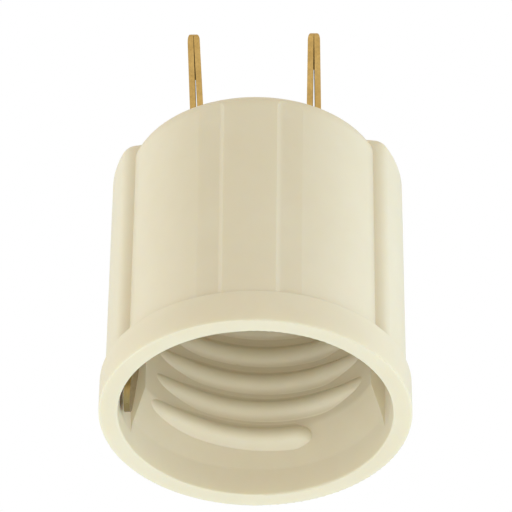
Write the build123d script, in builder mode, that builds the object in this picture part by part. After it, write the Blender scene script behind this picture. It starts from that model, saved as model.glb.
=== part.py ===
from build123d import *
import os
from math import sin, cos, sqrt, radians

os.makedirs("parts", exist_ok=True)

# ---------------------------------------------------------------------------
# Plug-in lamp holder: one ivory moulding, two folded brass strips, two rivets.
# Origin: centre of the mouth, z = 0 on the rim that it stands on.
# +Z runs to the plug face and the blades, the neutral (wide) blade is at -X.
# ---------------------------------------------------------------------------

# body, outside
body_h = 32.05           # rim to plug face
collar_r = 16.95         # mouth collar
collar_h = 4.1
collar_top_round = 2.2
collar_rim_round = 0.18
draft_deg = 0.95         # mould draft of the lobed part
lobe_c = 2.3             # front and back lobe: arc centre off the axis
lobe_r = 13.93           # lobe arc
lobe_round = 2.5         # plug-face edge of the lobes
flute_depth = 0.2        # two shallow flutes leave a flat band down the lobe
flute_in, flute_low, flute_out = 2.72, 3.42, 6.4     # band edge, bottom, outer edge
ledge_x = 12.93          # where the side lobe's ledge meets the lobe
ledge_deg = 11.0         # slant of the ledge
ear_r = 15.84            # side lobe
ear_corner = 1.75
ear_round = 1.5          # plug-face edge of the side lobes

# body, inside
mouth_r = 14.87
mouth_round = 0.2
lead_r, lead_z = 14.42, 3.1      # end of the shallow mouth taper
bore_r, bore_z = 13.25, 7.6      # end of the cone, start of the bore
bore_top_r = 13.10
floor_z = 26.5                   # inner face of the floor
recess_r = 14.65                 # wall recess behind the side contact
recess_half = 5.0

# thread: lamp thread of 3.629 mm pitch, ridges on the +Y and -Y walls only
pitch = 3.629
crest_r = 12.38
wave_r = 1.17                    # crest and root rounding
wave_deg = 51.0                  # flank angle where crest and root arcs meet
ridge_half_deg = 28.0            # full height over this angle each way
fade_axis = 12.0                 # the ends are struck from this far behind
fade_deg = 42.0
first_crest_z = 6.65
first_slope = 2.0                # lower flank of the lowest ridge
ridge_limit_r = 14.3
helix_deg = 2.57
start_deg = 15.0                 # the lowest ridge on the +Y wall ends here,
start_axis = 15.2                # rounded off about an axis this far out

# brass
leaf = 0.65                      # strip thickness
tip_gap = 0.04                   # seam between the leaves at the fold
blade_x = 6.35                   # half of 12.7 mm between blade centres
neutral_top = 49.94
hot_top = 50.39
neutral_w = 7.94
hot_w = 6.35
mid_z = 40.0
neutral_gap, neutral_mid_gap = 0.20, 0.17     # seam at the plug face and above
hot_gap, hot_mid_gap = 0.30, 0.27
neutral_lean = 2.6               # degrees outward
hot_lean = -0.2                  # degrees inward
neutral_twist, neutral_shift = 1.2, 0.0    # turn about Z and offset in X
hot_twist, hot_shift = 2.4, -0.15
slot_clear = 0.13
side_x = 13.92                   # side contact, middle of the strip
side_w = 5.2
side_end_z = 1.25
side_bow_x = 13.05               # middle of the strip at the bow
tip_round = 0.9                  # corners of the blade's tip
dome_w, dome_h = 0.685, 1.5      # the tip is coined to a narrow dome

# rivets
rivet_x = 10.1
rivet_d = 2.4
rivet_head_d = 4.2
rivet_head_h = 0.8
tail_bore_d = 4.8
tail_bore_h = 1.5
tail_d = 3.6
tail_h = 0.55


def seat(x, shift, turn):
    """Placement of a strip: its blade centre moves from x by shift, turned about Z."""
    c, s = cos(radians(turn)), sin(radians(turn))
    return Location((x + shift - x * c, -x * s, 0), (0, 0, turn))


def turned(at, plane):
    """A plane carried along with a strip's placement."""
    a = radians(at.orientation.Z)
    c, s = cos(a), sin(a)
    o, x, z = plane.origin, plane.x_dir, plane.z_dir
    return Plane((at.position.X + o.X * c - o.Y * s, at.position.Y + o.X * s + o.Y * c, o.Z),
                 x_dir=(x.X * c - x.Y * s, x.X * s + x.Y * c, x.Z),
                 z_dir=(z.X * c - z.Y * s, z.X * s + z.Y * c, z.Z))


neutral_at = seat(-blade_x, neutral_shift, neutral_twist)
hot_at = seat(blade_x, hot_shift, hot_twist)

# ---------------------------------------------------------------------------
# thread ridges: a rounded wave, coaxial in the middle and sinking into the wall
# at its ends
# ---------------------------------------------------------------------------
arc_c = crest_r + wave_r
infl_u = arc_c - wave_r * cos(radians(wave_deg))
infl_v = wave_r * sin(radians(wave_deg))
root_cu = infl_u - wave_r * cos(radians(wave_deg))
root_cv = 2 * infl_v
tail_a, tail_m = 15.0, (15.0 + wave_deg) * 0.5
sr, cr = sin(radians(ridge_half_deg)), cos(radians(ridge_half_deg))


def root_point(a):
    """Point of the concave root arc at a degrees from its outermost point."""
    return (root_cu + wave_r * cos(radians(a)), root_cv - wave_r * sin(radians(a)))


def wave_section(lowest):
    """Lines of a ridge's section, u outward and v upward from the crest."""
    tu, tv = root_point(tail_a)
    mu, mv = root_point(tail_m)
    ThreePointArc((infl_u, -infl_v), (crest_r, 0), (infl_u, infl_v))
    ThreePointArc((infl_u, infl_v), (mu, mv), (tu, tv))
    if lowest:
        Polyline((tu, tv), (13.32, 1.76), (14.8, 1.76),
                 (14.8, -infl_v - (14.8 - infl_u) / first_slope), (infl_u, -infl_v))
    else:
        Polyline((tu, tv), (13.32, 1.76), (14.8, 1.76), (14.8, -1.76),
                 (13.32, -1.76), (tu, -tv))
        ThreePointArc((tu, -tv), (mu, -mv), (infl_u, -infl_v))


right_plane = Plane((0, 0, 0), x_dir=(sr, cr, 0), z_dir=(cr, -sr, 0))
left_plane = Plane((0, 0, 0), x_dir=(-sr, cr, 0), z_dir=(cr, sr, 0))
right_axis = Axis((-fade_axis * sr, -fade_axis * cr, 0), (0, 0, -1))
left_axis = Axis((fade_axis * sr, -fade_axis * cr, 0), (0, 0, 1))

with BuildPart() as ridge:
    with BuildSketch(right_plane) as ridge_mid:
        with BuildLine():
            wave_section(False)
        make_face()
    revolve(axis=Axis.Z, revolution_arc=2 * ridge_half_deg)
    with BuildSketch(right_plane) as ridge_right:
        with BuildLine():
            wave_section(False)
        make_face()
    revolve(axis=right_axis, revolution_arc=fade_deg)
    with BuildSketch(left_plane) as ridge_left:
        with BuildLine():
            wave_section(False)
        make_face()
    revolve(axis=left_axis, revolution_arc=fade_deg)

# the lowest ridge on each wall: its lower flank runs straight out to the cone
with BuildPart() as first_ridge:
    with BuildSketch(right_plane) as first_mid:
        with BuildLine():
            wave_section(True)
        make_face()
    revolve(axis=Axis.Z, revolution_arc=2 * ridge_half_deg)
    with BuildSketch(right_plane) as first_right:
        with BuildLine():
            wave_section(True)
        make_face()
    revolve(axis=right_axis, revolution_arc=fade_deg)
    with BuildSketch(left_plane) as first_left:
        with BuildLine():
            wave_section(True)
        make_face()
    revolve(axis=left_axis, revolution_arc=fade_deg)

# on the +Y wall its right end is short and rounded
s1, c1 = sin(radians(start_deg)), cos(radians(start_deg))
start_plane = Plane((0, 0, 0), x_dir=(s1, c1, 0), z_dir=(c1, -s1, 0))
with BuildPart() as first_ridge_far:
    with BuildSketch(start_plane) as far_mid:
        with BuildLine():
            wave_section(True)
        make_face()
    revolve(axis=Axis.Z, revolution_arc=start_deg + ridge_half_deg)
    with BuildSketch(start_plane) as far_right:
        with BuildLine():
            wave_section(True)
        make_face()
    revolve(axis=Axis((start_axis * s1, start_axis * c1, 0), (0, 0, 1)), revolution_arc=75)
    with BuildSketch(left_plane) as far_left:
        with BuildLine():
            wave_section(True)
        make_face()
    revolve(axis=left_axis, revolution_arc=fade_deg)

# the half of the wall's depth that the ridges may reach
with BuildPart() as limit_p:
    with BuildSketch(Plane.XY) as limit_s:
        Circle(ridge_limit_r)
        with Locations((0, -ridge_limit_r)):
            Rectangle(4 * ridge_limit_r, 2 * ridge_limit_r, mode=Mode.SUBTRACT)
    extrude(amount=floor_z)

with BuildPart() as thread:
    with Locations(Location((0, 0, first_crest_z), (0, helix_deg, 0))):
        add(first_ridge_far.part)
    with Locations(*[Location((0, 0, first_crest_z + k * pitch), (0, helix_deg, 0))
                     for k in (1, 2, 3, 4)]):
        add(ridge.part)
    add(limit_p.part, mode=Mode.INTERSECT)

with BuildPart() as thread_back:
    with Locations(Location((0, 0, first_crest_z), (0, helix_deg, 0))):
        add(first_ridge.part)
    with Locations(*[Location((0, 0, first_crest_z + k * pitch), (0, helix_deg, 0))
                     for k in (1, 2, 3, 4)]):
        add(ridge.part)
    add(limit_p.part, mode=Mode.INTERSECT)

# ---------------------------------------------------------------------------
# body: front and back lobe as one drafted stadium, a side lobe at each side
# ---------------------------------------------------------------------------
collar_in = collar_h - 1.2
draft = sin(radians(draft_deg)) / cos(radians(draft_deg))

with BuildPart() as lobes:
    for z in (body_h, collar_in):
        r = lobe_r + (body_h - z) * draft
        with BuildSketch(Plane.XY.offset(z)) as lobe_plan:
            with BuildLine() as lobe_line:
                ThreePointArc((-r, -lobe_c), (0, -lobe_c - r), (r, -lobe_c))
                Line((r, -lobe_c), (r, lobe_c))
                ThreePointArc((r, lobe_c), (0, lobe_c + r), (-r, lobe_c))
                Line((-r, lobe_c), (-r, -lobe_c))
            make_face()
    loft(ruled=True)
    fillet(lobes.faces().sort_by(Axis.Z)[-1].edges(), radius=lobe_round)

# a side lobe reaches into the lobes; its ledges make the four vertical grooves
ldx, ldy = cos(radians(ledge_deg)), sin(radians(ledge_deg))
lnx, lny = ldy, -ldx
with BuildPart() as ear:
    for z in (body_h, collar_in):
        grow = (body_h - z) * draft
        re = ear_r + grow
        px = ledge_x + grow * lnx
        py = -lobe_c - sqrt(lobe_r**2 - ledge_x**2) + grow * lny
        # corner rounding: tangent to the ledge and the side lobe's arc
        qx, qy = px - ear_corner * lnx, py - ear_corner * lny
        b = qx * ldx + qy * ldy
        run = -b + sqrt(b**2 - (qx**2 + qy**2 - (re - ear_corner) ** 2))
        ex, ey = qx + run * ldx, qy + run * ldy
        k = re / (re - ear_corner)
        fx, fy = ex + ear_corner * lnx, ey + ear_corner * lny
        gx, gy = ex * k, ey * k
        mx, my = (fx + gx) / 2 - ex, (fy + gy) / 2 - ey
        h = ear_corner / sqrt(mx**2 + my**2)
        mx, my = ex + mx * h, ey + my * h
        iy = py - (px - 8.0) * ldy / ldx
        with BuildSketch(Plane.XY.offset(z)) as ear_plan:
            with BuildLine() as ear_line:
                Line((8.0, -iy), (8.0, iy))
                Line((8.0, iy), (fx, fy))
                ThreePointArc((fx, fy), (mx, my), (gx, gy))
                ThreePointArc((gx, gy), (re, 0), (gx, -gy))
                ThreePointArc((gx, -gy), (mx, -my), (fx, -fy))
                Line((fx, -fy), (8.0, -iy))
            make_face()
    loft(ruled=True)
    fillet(ear.faces().sort_by(Axis.Z)[-1].edges().filter_by(lambda e: e.center().X > 8.1),
           radius=ear_round)

# the two shallow flutes in the front lobe, on both sides of the flat band
with BuildPart() as channel:
    for z in (body_h + 1.0, collar_in):
        grow = (body_h - z) * draft
        half = [0.0, 1.3, 2.2, 2.55, flute_in, 2.84, 2.96, 3.07, 3.18, 3.30, flute_low,
                3.6, 4.0, 4.6, 5.2, 5.8, flute_out, 6.7]
        pts = []
        for x in [-x for x in reversed(half[1:])] + half:
            t = max((flute_low - abs(x)) / (flute_low - flute_in),
                    (abs(x) - flute_low) / (flute_out - flute_low))
            t = min(1.0, max(0.0, t))
            r = lobe_r - flute_depth + (flute_depth + 0.04) * t * t * (3 - 2 * t) + grow
            pts.append((x, -lobe_c - sqrt(r**2 - x**2)))
        with BuildSketch(Plane.XY.offset(z)) as channel_plan:
            with BuildLine() as channel_line:
                Spline(*pts)
                Polyline(pts[-1], (pts[-1][0], -19.0), (pts[0][0], -19.0), pts[0])
            make_face()
    loft(ruled=True)

with BuildPart() as body:
    add(lobes.part)
    add(ear.part)
    with Locations(Location((0, 0, 0), (0, 0, 180))):
        add(ear.part)
    add(channel.part, mode=Mode.SUBTRACT)
    with Locations(Location((0, 0, 0), (0, 0, 180))):
        add(channel.part, mode=Mode.SUBTRACT)

    # mouth collar
    with BuildSketch(Plane.XZ) as collar_section:
        with BuildLine() as collar_line:
            Polyline((0, 0), (collar_r, 0), (collar_r - 0.08, collar_h),
                     (0, collar_h), (0, 0))
        make_face()
        fillet(collar_section.vertices().filter_by(
            lambda v: v.X > 10 and v.Z > collar_h - 0.1), radius=collar_top_round)
        fillet(collar_section.vertices().filter_by(
            lambda v: v.X > 10 and v.Z < 0.1), radius=collar_rim_round)
    revolve(axis=Axis.Z)

    # mouth taper, cone and bore
    k = mouth_round * (1 - sqrt(0.5))
    with BuildSketch(Plane.XZ) as bore_section:
        with BuildLine() as bore_line:
            Polyline((0, -1), (mouth_r + mouth_round, -1), (mouth_r + mouth_round, 0))
            ThreePointArc((mouth_r + mouth_round, 0), (mouth_r + k, k), (mouth_r, mouth_round))
            Polyline((mouth_r, mouth_round), (lead_r, lead_z),
                     (bore_r, bore_z), (bore_top_r, floor_z), (0, floor_z), (0, -1))
        make_face()
        fillet(bore_section.vertices().filter_by(
            lambda v: abs(v.X - lead_r) < 0.01 or abs(v.X - bore_r) < 0.01), radius=2.0)
    revolve(axis=Axis.Z, mode=Mode.SUBTRACT)

    # thread ridges, far wall and near wall half a turn apart
    add(thread.part)
    with Locations(Location((0, 0, pitch / 2), (0, 0, 180))):
        add(thread_back.part)

    # wall recesses at both sides, and the small mouth edge
    with BuildSketch(Plane.XY.offset(0.9)) as recess:
        Circle(recess_r)
        Rectangle(4 * recess_r, 2 * recess_half, mode=Mode.INTERSECT)
    extrude(amount=floor_z - 0.9, mode=Mode.SUBTRACT)

    # blade slots
    with BuildSketch(Plane.XY.offset(floor_z - 1)) as slots:
        with Locations(neutral_at * Location((-blade_x, 0, 0))):
            Rectangle(2 * leaf + neutral_gap + 2 * slot_clear, neutral_w + 2 * slot_clear)
        with Locations(hot_at * Location((blade_x, 0, 0))):
            Rectangle(2 * leaf + hot_gap + 2 * slot_clear, hot_w + 2 * slot_clear)
    extrude(amount=body_h - floor_z + 2, mode=Mode.SUBTRACT)

    # the slots' inner edges are bevelled for the bends of the strips
    for at, x, half, width in (
            (neutral_at, -blade_x, leaf + neutral_gap / 2 + slot_clear, neutral_w),
            (hot_at, blade_x, leaf + hot_gap / 2 + slot_clear, hot_w)):
        with BuildSketch(turned(at, Plane.XZ)) as bevel:
            with BuildLine():
                Polyline((x - half - 0.5, floor_z - 0.2), (x - half - 0.5, floor_z),
                         (x - half, floor_z + 0.5), (x + half, floor_z + 0.5),
                         (x + half + 0.5, floor_z), (x + half + 0.5, floor_z - 0.2),
                         (x - half - 0.5, floor_z - 0.2))
            make_face()
        extrude(amount=width / 2 + slot_clear, both=True, mode=Mode.SUBTRACT)

    # rivet holes, counterbored in the plug face
    with Locations(neutral_at * Location((-rivet_x, 0, body_h)),
                   hot_at * Location((rivet_x, 0, body_h))):
        CounterBoreHole(radius=rivet_d / 2 + 0.01, counter_bore_radius=tail_bore_d / 2,
                        counter_bore_depth=tail_bore_h, depth=body_h - floor_z + 0.5)

# ---------------------------------------------------------------------------
# brass strips: the section of each strip lies in XZ and has one thickness all
# along, folded at the blade's tip
# ---------------------------------------------------------------------------
foot_z = floor_z - leaf / 2
fold = (leaf + tip_gap) / 2


def leaves(side, gap, mid_gap, deg, top):
    """Left and right middle lines of the two leaves at the fold, mid height, face."""
    t = side * sin(radians(deg)) / cos(radians(deg))
    x0 = side * blade_x
    xt, xm = x0 + (top - body_h) * t, x0 + (mid_z - body_h) * t
    hm, hb = (leaf + mid_gap) / 2, (leaf + gap) / 2
    return (xt - fold, xt + fold, xm - hm, xm + hm, x0 - hb, x0 + hb)


top_z = neutral_top - leaf / 2
n_tl, n_tr, n_ml, n_mr, n_bl, n_br = leaves(-1, neutral_gap, neutral_mid_gap,
                                            neutral_lean, top_z)
with BuildPart() as neutral_contact:
    with BuildSketch(turned(neutral_at, Plane.XZ)) as neutral_section:
        with BuildLine() as neutral_line:
            FilletPolyline(
                (-side_x, side_end_z), (-side_bow_x, 8.6),
                (-side_bow_x, 13.6), (-side_x, 18.4), (-side_x, foot_z),
                (n_bl, foot_z), (n_bl, body_h), (n_ml, mid_z), (n_tl, top_z),
                (n_tr, top_z), (n_mr, mid_z), (n_br, body_h), (n_br, foot_z),
                (-4.35, foot_z),
                radius=[5, 5, 5, 0.9, 0.75, 20, 20, fold - 0.005, fold - 0.005,
                        20, 20, 0.75])
        trace(line_width=leaf)
    extrude(amount=neutral_w / 2, both=True)
    # the strip narrows across the foot to the side contact
    with BuildSketch(turned(neutral_at, Plane.XY.offset(-1))) as neutral_taper:
        for s in (1, -1):
            with BuildLine():
                Polyline((-16, s * side_w / 2), (-12.4, s * side_w / 2), (-9.0, s * 4.2),
                         (-16, s * 4.2), (-16, s * side_w / 2))
            make_face()
    extrude(amount=floor_z + 1, mode=Mode.SUBTRACT)
    # rounded end of the side contact
    with BuildSketch(turned(neutral_at, Plane.YZ.offset(-16))) as end_cut:
        with Locations((0, side_end_z + 2)):
            Rectangle(side_w + 2, 5)
        with Locations((0, side_end_z + 4)):
            RectangleRounded(side_w, 8, 2.5, mode=Mode.SUBTRACT)
    extrude(amount=4, mode=Mode.SUBTRACT)
    # rounded corners of the blade's tip
    with BuildSketch(turned(neutral_at, Plane.YZ.offset(-9))) as tip_cut_n:
        with Locations((0, neutral_top - 1)):
            Rectangle(neutral_w + 2, 3)
        with Locations((0, neutral_top - 5)):
            RectangleRounded(neutral_w, 10, tip_round, mode=Mode.SUBTRACT)
    extrude(amount=6, mode=Mode.SUBTRACT)
    # narrow dome at the fold
    xt = (n_tl + n_tr) / 2
    with BuildSketch(turned(neutral_at, Plane.XZ)) as dome_n:
        with Locations(Location((xt, neutral_top, 0), (0, 0, neutral_lean))):
            with Locations((0, -dome_h / 2 + 0.3)):
                Rectangle(2.4, dome_h + 0.6)
            with Locations((0, -dome_h)):
                Ellipse(dome_w, dome_h, mode=Mode.SUBTRACT)
    extrude(amount=neutral_w, both=True, mode=Mode.SUBTRACT)
    with Locations(neutral_at * Location((-rivet_x, 0, floor_z + 0.1))):
        Hole(radius=rivet_d / 2, depth=1.2)

top_z = hot_top - leaf / 2
h_tl, h_tr, h_ml, h_mr, h_bl, h_br = leaves(1, hot_gap, hot_mid_gap, hot_lean, top_z)
with BuildPart() as hot_contact:
    with BuildSketch(turned(hot_at, Plane.XZ)) as hot_section:
        with BuildLine() as hot_line:
            FilletPolyline(
                (12.35, foot_z), (h_br, foot_z), (h_br, body_h), (h_mr, mid_z),
                (h_tr, top_z), (h_tl, top_z), (h_ml, mid_z), (h_bl, body_h),
                (h_bl, foot_z), (3.3, foot_z), (0.9, 22.9), (-0.9, 22.9), (-1.9, 23.9),
                radius=[0.75, 20, 20, fold - 0.005, fold - 0.005, 20, 20, 0.75,
                        1.2, 1.2, 0.8])
        trace(line_width=leaf)
    extrude(amount=hot_w / 2, both=True)
    # the centre contact is narrower than the blade
    with BuildSketch(turned(hot_at, Plane.XY.offset(20))) as hot_taper:
        for s in (1, -1):
            with BuildLine():
                Polyline((4.4, s * 3.4), (2.6, s * 2.3), (-4, s * 2.3), (-4, s * 3.4),
                         (4.4, s * 3.4))
            make_face()
    extrude(amount=floor_z - 20, mode=Mode.SUBTRACT)
    with BuildSketch(turned(hot_at, Plane.YZ.offset(4))) as tip_cut_h:
        with Locations((0, hot_top - 1)):
            Rectangle(hot_w + 2, 3)
        with Locations((0, hot_top - 5)):
            RectangleRounded(hot_w, 10, tip_round, mode=Mode.SUBTRACT)
    extrude(amount=6, mode=Mode.SUBTRACT)
    xt = (h_tl + h_tr) / 2
    with BuildSketch(turned(hot_at, Plane.XZ)) as dome_h_cut:
        with Locations(Location((xt, hot_top, 0), (0, 0, -hot_lean))):
            with Locations((0, -dome_h / 2 + 0.3)):
                Rectangle(2.4, dome_h + 0.6)
            with Locations((0, -dome_h)):
                Ellipse(dome_w, dome_h, mode=Mode.SUBTRACT)
    extrude(amount=hot_w, both=True, mode=Mode.SUBTRACT)
    with Locations(hot_at * Location((rivet_x, 0, floor_z + 0.1))):
        Hole(radius=rivet_d / 2, depth=1.2)

# ---------------------------------------------------------------------------
# rivets: low dome inside, rolled semi-tubular tail in the counterbore
# ---------------------------------------------------------------------------
head_z = floor_z - leaf
seat_z = body_h - tail_bore_h
for name, spot in (("neutral_rivet", neutral_at * Location((-rivet_x, 0, 0))),
                   ("hot_rivet", hot_at * Location((rivet_x, 0, 0)))):
    x, y = spot.position.X, spot.position.Y
    with BuildPart() as rivet:
        with BuildSketch(Plane((x, y, 0), x_dir=(1, 0, 0), z_dir=(0, -1, 0))) as rivet_section:
            with BuildLine() as rivet_line:
                ThreePointArc((0, head_z - rivet_head_h), (1.3, head_z - 0.66),
                              (rivet_head_d / 2, head_z - 0.25))
                Polyline((rivet_head_d / 2, head_z - 0.25), (rivet_head_d / 2, head_z),
                         (rivet_d / 2, head_z), (rivet_d / 2, seat_z), (tail_d / 2, seat_z),
                         (tail_d / 2, seat_z + 0.2))
                ThreePointArc((tail_d / 2, seat_z + 0.2), (tail_d / 2 - 0.25, seat_z + tail_h),
                              (0.95, seat_z + 0.3))
                Polyline((0.95, seat_z + 0.3), (0.8, seat_z - 0.9), (0, seat_z - 1.2),
                         (0, head_z - rivet_head_h))
            make_face()
        revolve(axis=Axis((x, y, 0), (0, 0, 1)))
    rivet.part.label = name
    export_step(rivet.part, "parts/" + name + ".step")

body.part.label = "body"
neutral_contact.part.label = "neutral_contact"
hot_contact.part.label = "hot_contact"
export_step(body.part, "parts/body.step")
export_step(neutral_contact.part, "parts/neutral_contact.step")
export_step(hot_contact.part, "parts/hot_contact.step")
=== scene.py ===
import math

import bpy
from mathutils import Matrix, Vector

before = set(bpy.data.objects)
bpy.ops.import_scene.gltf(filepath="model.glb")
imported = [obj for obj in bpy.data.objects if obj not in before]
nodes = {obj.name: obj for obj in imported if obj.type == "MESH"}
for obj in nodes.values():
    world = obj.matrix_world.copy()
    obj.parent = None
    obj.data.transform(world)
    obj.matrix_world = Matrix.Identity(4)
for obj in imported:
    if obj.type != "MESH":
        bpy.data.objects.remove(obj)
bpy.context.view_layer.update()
scene = bpy.context.scene

# ---------------------------------------------------------------------------
# camera: long lens, from below and in front, mouth towards the viewer
# ---------------------------------------------------------------------------
AZIMUTH, ELEVATION, ROLL = 2.9, 36.3, 0.52     # degrees; elevation is from below
DISTANCE = 1.0                                 # metres to the mouth's centre
FOCAL = 9270.0                                 # in pixels of a 512 px frame
MOUTH_PX = (255.4, 414.4)                      # where the mouth's centre falls

cam_data = bpy.data.cameras.new("camera")
cam = bpy.data.objects.new("camera", cam_data)
scene.collection.objects.link(cam)
scene.camera = cam
a, e = math.radians(AZIMUTH), math.radians(ELEVATION)
cam.location = Vector((math.sin(a) * math.cos(e), -math.cos(a) * math.cos(e), -math.sin(e))) * DISTANCE
# aim so that the mouth's centre falls on its pixel
u = (MOUTH_PX[0] - 256.0) / FOCAL
v = (256.0 - MOUTH_PX[1]) / FOCAL
to_mouth = (-cam.location).normalized()
quat = to_mouth.to_track_quat("-Z", "Y")
r = math.radians(ROLL)
from mathutils import Quaternion
quat = quat @ Quaternion((0, 0, 1), r)
offset = Vector((u, v, -1.0)).normalized()
turn = Vector((0, 0, -1)).rotation_difference(offset)
cam.rotation_mode = "QUATERNION"
cam.rotation_quaternion = quat @ turn.inverted()
cam_data.sensor_width = 36.0
cam_data.lens = 36.0 * FOCAL / 512.0
cam_data.clip_start, cam_data.clip_end = 0.05, 20.0
cam_data.dof.use_dof = False


# ---------------------------------------------------------------------------
# material helpers
# ---------------------------------------------------------------------------
def new_material(name):
    m = bpy.data.materials.new(name)
    m.use_nodes = True
    m.node_tree.nodes.clear()
    return m, m.node_tree.nodes, m.node_tree.links


def node(nodes_, kind, **values):
    n = nodes_.new(kind)
    for key, value in values.items():
        setattr(n, key, value)
    return n


def noise(ns, ls, coord, scale, detail=4.0, rough=0.55, distort=0.0):
    n = ns.new("ShaderNodeTexNoise")
    n.inputs["Scale"].default_value = scale
    n.inputs["Detail"].default_value = detail
    n.inputs["Roughness"].default_value = rough
    n.inputs["Distortion"].default_value = distort
    ls.new(coord, n.inputs["Vector"])
    return n.outputs["Fac"]


def ramp(ns, ls, value, stops):
    n = ns.new("ShaderNodeValToRGB")
    el = n.color_ramp.elements
    el[0].position, el[0].color = stops[0][0], (*stops[0][1], 1.0)
    el[1].position, el[1].color = stops[1][0], (*stops[1][1], 1.0)
    for pos, col in stops[2:]:
        x = el.new(pos)
        x.color = (*col, 1.0)
    ls.new(value, n.inputs["Fac"])
    return n.outputs["Color"]


def remap(ns, ls, value, lo, hi, frm=(0.0, 1.0)):
    n = ns.new("ShaderNodeMapRange")
    n.inputs["From Min"].default_value, n.inputs["From Max"].default_value = frm
    n.inputs["To Min"].default_value = lo
    n.inputs["To Max"].default_value = hi
    ls.new(value, n.inputs["Value"])
    return n.outputs["Result"]


# ---------------------------------------------------------------------------
# ivory moulding: satin gloss, a little translucent, faint uneven colour
# ---------------------------------------------------------------------------
def ivory():
    m, ns, ls = new_material("ivory_plastic")
    out = ns.new("ShaderNodeOutputMaterial")
    p = ns.new("ShaderNodeBsdfPrincipled")
    ls.new(p.outputs["BSDF"], out.inputs["Surface"])
    tc = ns.new("ShaderNodeTexCoord")
    co = tc.outputs["Object"]
    cloud = noise(ns, ls, co, 55.0, 3.0, 0.5)
    fine = noise(ns, ls, co, 420.0, 4.0, 0.6)
    mix = ns.new("ShaderNodeMath"); mix.operation = "MULTIPLY_ADD"
    ls.new(fine, mix.inputs[0]); mix.inputs[1].default_value = 0.35
    ls.new(cloud, mix.inputs[2])
    col = ramp(ns, ls, mix.outputs[0], [(0.35, (0.770, 0.704, 0.550)), (0.95, (0.808, 0.753, 0.615))])
    ls.new(col, p.inputs["Base Color"])
    rough = remap(ns, ls, noise(ns, ls, co, 230.0, 5.0, 0.6), 0.30, 0.42, (0.3, 0.7))
    ls.new(rough, p.inputs["Roughness"])
    p.inputs["IOR"].default_value = 1.5
    p.inputs["Subsurface Weight"].default_value = 0.40
    p.inputs["Subsurface Radius"].default_value = (1.0, 0.8, 0.45)
    p.inputs["Subsurface Scale"].default_value = 0.0022
    # moulded skin: slow waviness and a very fine grain
    wave = noise(ns, ls, co, 130.0, 2.0, 0.5)
    grain = noise(ns, ls, co, 3200.0, 3.0, 0.6)
    b1 = ns.new("ShaderNodeBump"); b1.inputs["Strength"].default_value = 1.0
    b1.inputs["Distance"].default_value = 0.00003
    ls.new(wave, b1.inputs["Height"])
    b2 = ns.new("ShaderNodeBump"); b2.inputs["Strength"].default_value = 1.0
    b2.inputs["Distance"].default_value = 0.0000025
    ls.new(grain, b2.inputs["Height"])
    ls.new(b1.outputs["Normal"], b2.inputs["Normal"])
    ls.new(b2.outputs["Normal"], p.inputs["Normal"])
    return m


# ---------------------------------------------------------------------------
# rolled brass strip: drawn grain along the strip, slight tarnish, painted shade inside the moulding
# ---------------------------------------------------------------------------
# painted shade: how far the brass colour is darkened inside the moulding
INSIDE_PAINTED_SHADE = 0.42


def brass(name, light, dark, grain_axis):
    m, ns, ls = new_material(name)
    out = ns.new("ShaderNodeOutputMaterial")
    p = ns.new("ShaderNodeBsdfPrincipled")
    ls.new(p.outputs["BSDF"], out.inputs["Surface"])
    p.inputs["Metallic"].default_value = 1.0
    tc = ns.new("ShaderNodeTexCoord")
    mp = ns.new("ShaderNodeMapping")
    ls.new(tc.outputs["Object"], mp.inputs["Vector"])
    s = [1.0, 1.0, 1.0]
    s[grain_axis] = 0.06
    mp.inputs["Scale"].default_value = s
    streak = noise(ns, ls, mp.outputs["Vector"], 5200.0, 4.0, 0.65)
    cloud = noise(ns, ls, tc.outputs["Object"], 420.0, 5.0, 0.65, 0.4)
    speck = noise(ns, ls, tc.outputs["Object"], 2600.0, 3.0, 0.7)
    mixed = ns.new("ShaderNodeMath"); mixed.operation = "MULTIPLY_ADD"
    ls.new(streak, mixed.inputs[0]); mixed.inputs[1].default_value = 0.45
    ls.new(cloud, mixed.inputs[2])
    col = ramp(ns, ls, mixed.outputs[0], [(0.45, dark), (0.95, light)])
    # painted shade: the strip's colour is darkened inside the moulding, where the socket shades it, and
    # kept full out in the open
    height = ns.new("ShaderNodeSeparateXYZ")
    ls.new(tc.outputs["Object"], height.inputs["Vector"])
    painted_shade_amount = remap(ns, ls, height.outputs["Z"], INSIDE_PAINTED_SHADE, 1.0, (0.022, 0.034))
    shade = ns.new("ShaderNodeVectorMath"); shade.operation = "SCALE"
    ls.new(col, shade.inputs[0]); ls.new(painted_shade_amount, shade.inputs["Scale"])
    ls.new(shade.outputs["Vector"], p.inputs["Base Color"])
    rough = remap(ns, ls, speck, 0.26, 0.46, (0.3, 0.7))
    ls.new(rough, p.inputs["Roughness"])
    b = ns.new("ShaderNodeBump"); b.inputs["Strength"].default_value = 0.8
    b.inputs["Distance"].default_value = 0.00001
    ls.new(streak, b.inputs["Height"])
    ls.new(b.outputs["Normal"], p.inputs["Normal"])
    return m


mat_ivory = ivory()
mat_brass = brass("contact_brass", (0.78, 0.585, 0.26), (0.61, 0.43, 0.165), 2)
mat_rivet = brass("rivet_brass", (0.62, 0.44, 0.20), (0.44, 0.29, 0.12), 2)
wear = {"body": mat_ivory, "neutral_contact": mat_brass, "hot_contact": mat_brass,
        "neutral_rivet": mat_rivet, "hot_rivet": mat_rivet}
for name, m in wear.items():
    o = nodes[name]
    for slot in o.material_slots:
        slot.material = m
    if not o.material_slots:
        o.data.materials.append(m)

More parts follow.
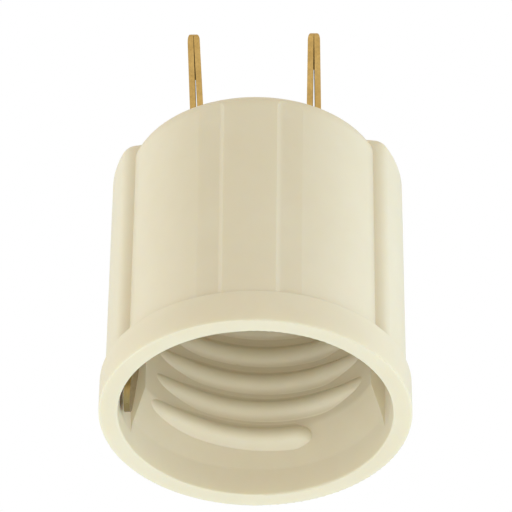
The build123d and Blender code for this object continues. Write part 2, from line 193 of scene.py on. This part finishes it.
# ---------------------------------------------------------------------------
# floor: pale, seen from above only, since the camera looks up through it
# ---------------------------------------------------------------------------
fm = bpy.data.meshes.new("floor")
S, N = 1.5, 1
fm.from_pydata([(-S, -S, 0), (S, -S, 0), (S, S, 0), (-S, S, 0)], [], [(0, 1, 2, 3)])
floor = bpy.data.objects.new("floor", fm)
scene.collection.objects.link(floor)
floor.location.z = -0.00002
mf, ns, ls = new_material("floor")
out = ns.new("ShaderNodeOutputMaterial")
geo = ns.new("ShaderNodeNewGeometry")
clear = ns.new("ShaderNodeBsdfTransparent")
pale = ns.new("ShaderNodeBsdfPrincipled")
fl = noise(ns, ls, ns.new("ShaderNodeTexCoord").outputs["Object"], 30.0, 3.0, 0.5)
ls.new(ramp(ns, ls, fl, [(0.3, (0.80, 0.80, 0.79)), (0.7, (0.83, 0.83, 0.82))]), pale.inputs["Base Color"])
pale.inputs["Roughness"].default_value = 0.6
mixf = ns.new("ShaderNodeMixShader")
ls.new(geo.outputs["Backfacing"], mixf.inputs["Fac"])
ls.new(pale.outputs["BSDF"], mixf.inputs[1])
ls.new(clear.outputs["BSDF"], mixf.inputs[2])
ls.new(mixf.outputs["Shader"], out.inputs["Surface"])
fm.materials.append(mf)
floor.visible_diffuse = False
floor.visible_glossy = False
floor.visible_transmission = False
floor.visible_shadow = False

# ---------------------------------------------------------------------------
# light: a pale surround made of soft lobes, strongest at both sides and below
# ---------------------------------------------------------------------------
LOBES = [  # direction, exponent, strength in red, green, blue
    ((1, 0, 0), 2.0, (1.84, 2.00, 2.02)),
    ((-1, 0, 0), 2.0, (1.85, 1.90, 1.81)),
    ((0, 1, 0), 2.0, (0.69, 0.75, 0.75)),
    ((0, 0, 1), 2.0, (0.92, 0.78, 0.58)),
    ((0, 0, -1), 2.0, (1.16, 1.26, 1.27)),
    ((0.04, -0.8, -0.6), 8.0, (1.55, 1.32, 0.97)),
    ((0.04, -0.8, 0.6), 20.0, (1.00, 0.88, 0.66)),
]
world = bpy.data.worlds.new("world")
scene.world = world
world.use_nodes = True
ns, ls = world.node_tree.nodes, world.node_tree.links
ns.clear()
wout = ns.new("ShaderNodeOutputWorld")
tc = ns.new("ShaderNodeTexCoord")
total = None
for axis, power, colour in LOBES:
    dot = ns.new("ShaderNodeVectorMath"); dot.operation = "DOT_PRODUCT"
    ls.new(tc.outputs["Generated"], dot.inputs[0])
    dot.inputs[1].default_value = axis
    pos = ns.new("ShaderNodeMath"); pos.operation = "MAXIMUM"
    ls.new(dot.outputs["Value"], pos.inputs[0]); pos.inputs[1].default_value = 0.0
    lobe = ns.new("ShaderNodeMath"); lobe.operation = "POWER"
    ls.new(pos.outputs[0], lobe.inputs[0]); lobe.inputs[1].default_value = power
    tint = ns.new("ShaderNodeVectorMath"); tint.operation = "SCALE"
    tint.inputs[0].default_value = colour
    ls.new(lobe.outputs[0], tint.inputs["Scale"])
    if total is None:
        total = tint.outputs["Vector"]
    else:
        plus = ns.new("ShaderNodeVectorMath"); plus.operation = "ADD"
        ls.new(total, plus.inputs[0]); ls.new(tint.outputs["Vector"], plus.inputs[1])
        total = plus.outputs["Vector"]
soft = ns.new("ShaderNodeBackground")
ls.new(total, soft.inputs["Color"])
soft.inputs["Strength"].default_value = 0.8
white = ns.new("ShaderNodeBackground")
white.inputs["Color"].default_value = (1, 1, 1, 1)
white.inputs["Strength"].default_value = 1.0
lp = ns.new("ShaderNodeLightPath")
mw = ns.new("ShaderNodeMixShader")
ls.new(lp.outputs["Is Camera Ray"], mw.inputs["Fac"])
ls.new(soft.outputs["Background"], mw.inputs[1])
ls.new(white.outputs["Background"], mw.inputs[2])
ls.new(mw.outputs["Shader"], wout.inputs["Surface"])

scene.view_settings.view_transform = "Standard"
scene.view_settings.look = "None"
scene.view_settings.exposure = 0.0
scene.view_settings.gamma = 1.0
